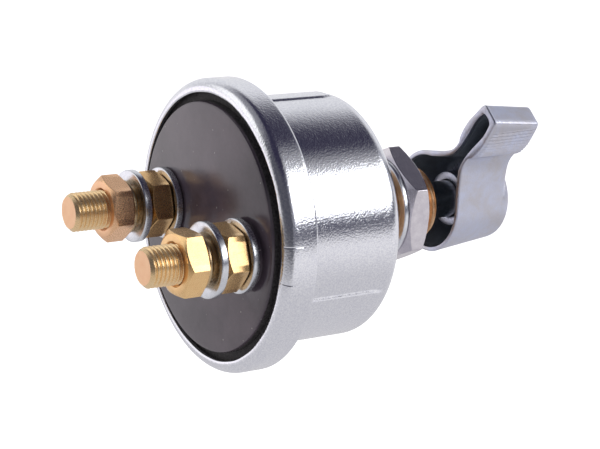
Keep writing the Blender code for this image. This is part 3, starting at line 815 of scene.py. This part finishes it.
def lever():
    rows = []

    def section(t, inset, ridges=True, circle_r=None):
        circle_r = circle_r or LEVER_BASE_R - 1.75 * t
        loop = whole_loop(outer_half(circle_r, 36.0 - 2.3 * t, 0.12 * t + inset))
        if ridges:
            loop = loop + outline_normals(loop) * ridge_height(loop, t)[:, None]
        return loop

    # back edge, then the outer wall, then the rounding into the front face
    for inset, drop in ((0.34, 0.0), (0.18, 0.05), (0.06, 0.17), (0.0, 0.36)):
        rows.append(lever_space(section(0.0, inset, False, LEVER_BASE_R - inset), LEVER_BACK - drop))
    for t in np.linspace(0.04, 0.90, 30):
        rows.append(lever_space(section(t, 0.0), LEVER_BACK - LEVER_DEPTH * t))
    radius = 1.35
    for step in range(1, 9):
        a = math.radians(90 * step / 8)
        t = 0.915 + 0.085 * math.sin(a)
        # the base circle doesn't round off here: its boss goes on
        loop = section(0.92, radius * (1 - math.cos(a)), step < 3, LEVER_BASE_R - 1.75 * t)
        rows.append(lever_space(loop, LEVER_BACK - LEVER_DEPTH * t))
    count = len(rows[0])
    outer_points = np.concatenate(rows)
    outer_faces = grid_faces(len(rows), count)

    inner_rows = []
    depth = 13.5
    for inset, drop in ((-0.22, 0.0), (-0.1, 0.05), (-0.02, 0.16), (0.0, 0.3)):
        inner_rows.append(lever_space(whole_loop(inner_half(12.0 - inset, 34.4, inset)), LEVER_BACK - drop))
    for t in np.linspace(0.08, 0.88, 9):
        inner_rows.append(lever_space(whole_loop(inner_half(12.0 - 1.55 * t, 34.4 - 2.4 * t, 0.3 * t)), LEVER_BACK - depth * t))
    for step in range(1, 6):
        a = math.radians(90 * step / 5)
        t = 0.91 + 0.09 * math.sin(a)
        pull = 0.9 * (1 - math.cos(a))
        inner_rows.append(lever_space(whole_loop(inner_half(10.59 - pull, 32.3, 0.28 + pull)), LEVER_BACK - depth * t))
    inner_count = len(inner_rows[0])
    inner_points = np.concatenate(inner_rows)
    inner_faces = grid_faces(len(inner_rows), inner_count)

    hub_angles = even_angles(96)
    hub_profile = [(8.2, LEVER_BACK - depth), (7.5, LEVER_BACK - depth + 0.25), (7.15, LEVER_BACK - depth + 0.9), (7.0, -39.5), (7.0, HUB_BACK - 0.2), (6.96, HUB_BACK - 0.06), (6.86, HUB_BACK),
                   (5.15, HUB_BACK), (5.03, HUB_BACK - 0.08), (5.0, HUB_BACK - 0.3), (5.0, -39.6), (2.8, -39.6), (2.8, -42.0), (5.2, -42.0), (5.2, LEVER_FRONT)]
    hub_points, hub_faces = [], []
    for r, y in hub_profile:
        reach = np.full_like(hub_angles, r)
        if -39.7 < y < HUB_BACK - 0.3 and r < 5.2:
            # the shaft's two flats
            off = np.abs(np.sin(hub_angles - math.radians(LEVER_ANGLE)))
            reach = np.minimum(reach, 4.0 / np.maximum(off, 1e-6))
        hub_points.append(np.stack([reach * np.cos(hub_angles), np.zeros(96) + y, reach * np.sin(hub_angles)], axis=-1))
    hub_points = np.concatenate(hub_points)
    hub_faces = grid_faces(len(hub_profile), 96)

    # the boss goes on from the base circle with the same taper
    front = LEVER_FRONT - LEVER_BOSS
    boss = [(5.2, LEVER_FRONT + 0.02), (LEVER_BASE_R - 1.75, LEVER_FRONT + 0.02), (LEVER_BASE_R - 1.86, LEVER_FRONT - 1.0)]
    boss += arc(LEVER_BASE_R - 3.95, front + 2.0, 2.0, 0, -90, 10)[1:]
    boss += [(7.5, front), (5.5, front), (5.26, front + 0.07), (5.2, front + 0.3)]
    boss_points, boss_faces = turned(boss, even_angles(180))

    points, faces, _ = joined([(outer_points, outer_faces, 0), (inner_points, inner_faces, 0), (hub_points, hub_faces, 0), (boss_points, boss_faces, 0)])
    first_inner = len(outer_points)
    first_hub = first_inner + len(inner_points)
    mesh = bpy.data.meshes.new("lever_casting")
    mesh.from_pydata((points * MM).tolist(), [], faces)
    shape = bmesh.new()
    shape.from_mesh(mesh)
    shape.verts.ensure_lookup_table()
    shape.edges.ensure_lookup_table()

    def ring_edges(start, size):
        found = []
        for i in range(size):
            a, b = shape.verts[start + i], shape.verts[start + (i + 1) % size]
            found.append(shape.edges.get((a, b)))
        return found

    # the flat faces: the back edge, the front, and the floor round the hub
    for loops in (
        ((0, count), (first_inner, inner_count)),
        ((count * (len(rows) - 1), count), (first_hub + 96 * (len(hub_profile) - 1), 96)),
        ((first_inner + inner_count * (len(inner_rows) - 1), inner_count), (first_hub, 96)),
    ):
        edges = [e for start, size in loops for e in ring_edges(start, size)]
        bmesh.ops.triangle_fill(shape, use_beauty=True, use_dissolve=False, edges=edges)
    bmesh.ops.recalc_face_normals(shape, faces=shape.faces)
    shape.to_mesh(mesh)
    shape.free()
    outside = die_cast("lever_cast")
    mesh.materials.append(outside)
    # the hollow's inner walls past the back edge's rounding get a darker, duller copy of the casting: painted shade for
    # the unlit cavity
    mesh.materials.append(die_cast("lever_cast_inside_painted_shade", (0.30, 0.34, 0.40), (0.20, 0.23, 0.27), 0.5, 0.08, 0.35))
    for polygon in mesh.polygons:
        i = polygon.vertices[0]
        polygon.material_index = 1 if first_inner + inner_count * 4 <= i < first_hub else 0
    mesh.shade_smooth()
    mesh.set_sharp_from_angle(angle=math.radians(34))
    made = bpy.data.objects.new("lever_casting", mesh)
    bpy.context.scene.collection.objects.link(made)
    finish_piece(made, "rotor", ["lever"])


def lever_screw():
    profile = rounded(
        [(0, -31.5), (2.0, -31.5), (2.4, -31.9), (2.4, -42.3), (4.75, -42.3), (4.75, -43.4), (4.1, -44.35), (2.6, -44.85), (0, -45.0)],
        0.2, 3, closed=False, radii={4: 0.12, 5: 0.5, 6: 0.7, 7: 0.7},
    )
    points, faces = turned(profile, even_angles(96))
    plated = machined("screw_zinc", (0.78, 0.80, 0.84), (0.60, 0.62, 0.67), 0.24, (0, 0), 4.0, 0.01)
    made = mesh_piece("lever_screw_slotted", points, faces, [plated])
    cut(made, block("slot", (-6, -46, -0.6), (6, -43.7, 0.6), 20))
    made.data.shade_smooth()
    made.data.set_sharp_from_angle(angle=math.radians(30))
    finish_piece(made, "rotor", ["lever_screw"])


def shaft():
    profile = [
        (0, 30.4), (3.1, 30.4), (3.55, 29.9), (3.55, 12.9), (4.95, 12.9), (4.95, 6.1), (8.5, 6.1), (8.5, 4.5),
        (4.76, 4.5), (4.76, -20.6), (3.5, -20.6), (3.5, -22.4), (4.76, -22.4), (4.76, HUB_BACK + 0.35), (4.76, HUB_BACK + 0.25),
        (4.76, -38.9), (4.4, -39.3), (2.75, -39.3), (2.75, -31.1), (0, -31.1),
    ]
    angles = even_angles(144)

    def flats(r, y, theta):
        inside = (y > 6.05) & (y < 12.95) & (r > 3.6) & (r < 5)
        square = 3.6 / np.maximum(np.abs(np.cos(theta)), np.abs(np.sin(theta)))
        r = np.where(inside, np.minimum(r, square), r)
        held = (y < HUB_BACK + 0.3) & (r > 3.6)
        flat = 3.65 / np.maximum(np.abs(np.sin(theta - math.radians(LEVER_ANGLE))), 1e-6)
        return np.where(held, np.minimum(r, flat), r), y

    points, faces = turned(profile, angles, shape=flats)
    steel = machined("shaft_steel", (0.46, 0.49, 0.52), (0.33, 0.36, 0.39), 0.33, (0, 0), 3.0, 0.012, 0.3)
    made = mesh_piece("shaft_steel", points, faces, [steel], sharp=30)
    finish_piece(made, "rotor", ["shaft"])


def inner_pieces():
    """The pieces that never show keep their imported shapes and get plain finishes."""
    looks = {
        "base_gasket": plain("gasket_rubber", (0.035, 0.035, 0.036), (0.018, 0.018, 0.018), 0.0, 0.75),
        "shaft_seal": plain("seal_rubber", (0.035, 0.035, 0.036), (0.018, 0.018, 0.018), 0.0, 0.6),
        "thrust_washer": plain("thrust_zinc", (0.74, 0.76, 0.80), (0.58, 0.60, 0.65), 1.0, 0.3),
        "rotor_carrier": plain("carrier_moulding", (0.66, 0.63, 0.56), (0.58, 0.55, 0.48), 0.0, 0.5),
        "contact_bridge": plain("bridge_copper", (0.90, 0.50, 0.34), (0.74, 0.38, 0.25), 1.0, 0.3),
        "contact_spring": plain("spring_steel", (0.34, 0.35, 0.38), (0.22, 0.23, 0.26), 1.0, 0.3),
        "insulating_liner": plain("liner_fibre", (0.42, 0.27, 0.16), (0.31, 0.19, 0.11), 0.0, 0.8),
    }
    for name, made in looks.items():
        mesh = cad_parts[name].data
        mesh.materials.clear()
        mesh.materials.append(made)
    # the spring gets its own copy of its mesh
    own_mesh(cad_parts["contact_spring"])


YELLOW = ((1.0, 0.67, 0.32), (0.95, 0.61, 0.28))
PINKER = ((0.97, 0.60, 0.35), (0.92, 0.55, 0.31))
BROWNER = ((0.92, 0.60, 0.27), (0.82, 0.50, 0.21))

cup()
base()
terminal("a", STUD_X, INNER_Y_A, OUTER_Y_A, 128, 132, 260, (BROWNER, PINKER))
terminal("b", -STUD_X, INNER_Y_B, OUTER_Y_B, 124, 114, 300, (YELLOW, YELLOW))
stem()
lever()
lever_screw()
shaft()
inner_pieces()

# -------------------------------------------------------------- the studio

# The camera that a fit to the photograph's own circles and studs gave: 108 mm on a
# 36 mm film, 450 mm away.
eye = Vector((-0.34765, 0.24593, 0.14584))
right = Vector((-0.53158436, -0.84187176, 0.09311289))
up = Vector((0.32919717, -0.10406424, 0.93850938))
ahead = Vector((0.78041482, -0.52954941, -0.33246073))
lens = bpy.data.cameras.new("camera")
lens.lens = 108
lens.sensor_width = 36
lens.sensor_fit = "HORIZONTAL"
lens.clip_start = 0.01
camera = bpy.data.objects.new("camera", lens)
camera.matrix_world = Matrix((
    (right.x, up.x, -ahead.x, eye.x),
    (right.y, up.y, -ahead.y, eye.y),
    (right.z, up.z, -ahead.z, eye.z),
    (0, 0, 0, 1),
))
bpy.context.scene.collection.objects.link(camera)
bpy.context.scene.camera = camera


def direction(azimuth, elevation):
    a, e = math.radians(azimuth), math.radians(elevation)
    return Vector((math.cos(a) * math.cos(e), math.sin(a) * math.cos(e), math.sin(e)))


def soft_box(name, azimuth, elevation, width, height, radiance, distance=1.0, tint=(1, 1, 1)):
    """A rectangular light that faces the switch. Width and height are in degrees."""
    light = bpy.data.lights.new(name, "AREA")
    light.shape = "RECTANGLE"
    light.size = 2 * distance * math.tan(math.radians(width / 2))
    light.size_y = 2 * distance * math.tan(math.radians(height / 2))
    light.energy = radiance * math.pi * light.size * light.size_y
    light.color = tint
    lamp = bpy.data.objects.new(name, light)
    lamp.location = direction(azimuth, elevation) * distance
    lamp.rotation_euler = (-lamp.location).to_track_quat("-Z", "Y").to_euler()
    bpy.context.scene.collection.objects.link(lamp)
    return lamp


def room():
    """A white table and backdrop under a dark ceiling, as a world seen by direction."""
    world = bpy.data.worlds.new("studio")
    bpy.context.scene.world = world
    world.use_nodes = True
    tree = world.node_tree
    tree.nodes.clear()

    def node(kind, values=None, **properties):
        made = tree.nodes.new(kind)
        for key, value in properties.items():
            setattr(made, key, value)
        for key, value in (values or {}).items():
            if isinstance(value, bpy.types.NodeSocket):
                tree.links.new(value, made.inputs[key])
            else:
                made.inputs[key].default_value = value
        return made

    towards = node("ShaderNodeTexCoord").outputs["Generated"]

    def dot(vector):
        return node("ShaderNodeVectorMath", {0: towards, 1: tuple(vector)}, operation="DOT_PRODUCT").outputs["Value"]

    def ramp(value, low, high, to_low=0.0, to_high=1.0):
        return node(
            "ShaderNodeMapRange",
            {"Value": value, "From Min": low, "From Max": high, "To Min": to_low, "To Max": to_high},
            interpolation_type="SMOOTHSTEP",
        ).outputs["Result"]

    def times(a, b):
        return node("ShaderNodeMath", {0: a, 1: b}, operation="MULTIPLY").outputs[0]

    def blend(factor, a, b):
        made = node("ShaderNodeMix", data_type="RGBA")
        for index, value in ((0, factor), (6, a), (7, b)):
            if isinstance(value, bpy.types.NodeSocket):
                tree.links.new(value, made.inputs[index])
            else:
                made.inputs[index].default_value = (*value, 1) if index else value
        return made.outputs[2]

    rise = dot((0, 0, 1))
    behind = ramp(dot(direction(-33, 0)), 0.35, 0.75)        # the backdrop, beyond the switch
    dim = ramp(dot(direction(118, 8)), 0.38, 0.74)           # the unlit side, behind the camera
    under = times(ramp(dot(direction(-146, 4)), 0.72, 0.9), ramp(rise, 0.34, 0.22))  # the wall under the softbox
    lit = ramp(dot(direction(31, -10)), 0.955, 0.995)        # the table by the card
    card = ramp(dot(direction(46, 18)), 0.905, 0.97)         # a lit card on the left
    glow = times(ramp(dot(direction(-137, 31)), 0.80, 0.95), ramp(rise, 0.25, 0.5))  # the wall over the softbox
    spill = ramp(dot(direction(44, 50)), 0.80, 0.98)         # the ceiling over the card
    walls = blend(behind, (0.36, 0.36, 0.40), (0.84, 0.84, 0.86))
    walls = blend(dim, walls, (0.095, 0.095, 0.115))
    walls = blend(under, walls, (0.13, 0.13, 0.165))
    ceiling = blend(ramp(rise, 0.55, 0.84), walls, (0.034, 0.031, 0.060))
    ceiling = blend(times(spill, 0.6), ceiling, (0.45, 0.45, 0.47))
    ceiling = blend(times(glow, 0.42), ceiling, (1.0, 1.0, 1.0))
    table = blend(ramp(rise, -0.62, -0.12), (0.66, 0.65, 0.67), (0.92, 0.905, 0.92))
    table = blend(times(dim, ramp(rise, -0.55, -0.08)), table, (0.14, 0.14, 0.155))
    table = blend(lit, table, (1.3, 1.24, 1.3))
    colour = blend(ramp(rise, -0.03, 0.03), table, ceiling)
    colour = blend(card, colour, (1.25, 1.24, 1.22))
    background = node("ShaderNodeBackground", {"Color": colour, "Strength": 1.0})
    white = node("ShaderNodeBackground", {"Color": (1, 1, 1, 1), "Strength": 1.0})
    seen = node("ShaderNodeMixShader", {0: node("ShaderNodeLightPath").outputs["Is Camera Ray"], 1: background.outputs[0], 2: white.outputs[0]})
    out = node("ShaderNodeOutputWorld")
    tree.links.new(seen.outputs[0], out.inputs["Surface"])


def floor():
    """A pale floor well under the switch, which is held up by its panel."""
    mesh = bpy.data.meshes.new("floor")
    reach = 4.0
    mesh.from_pydata([(-reach, -reach, -0.14), (reach, -reach, -0.14), (reach, reach, -0.14), (-reach, reach, -0.14)], [], [(0, 1, 2, 3)])
    made = bpy.data.materials.new("floor_white")
    made.use_nodes = True
    shader = made.node_tree.nodes["Principled BSDF"]
    shader.inputs["Base Color"].default_value = (0.8, 0.8, 0.8, 1)
    shader.inputs["Roughness"].default_value = 0.9
    shader.inputs["Emission Color"].default_value = (1, 1, 1, 1)
    shader.inputs["Emission Strength"].default_value = 0.95
    mesh.materials.append(made)
    obj = bpy.data.objects.new("floor", mesh)
    bpy.context.scene.collection.objects.link(obj)
    obj.visible_glossy = False
    obj.visible_diffuse = False
    obj.visible_transmission = False


room()
floor()
soft_box("key_softbox", -137, 31.5, 48, 26, 2.9, 1.2)
bpy.context.scene.view_settings.view_transform = "Standard"

bpy.context.view_layer.update()
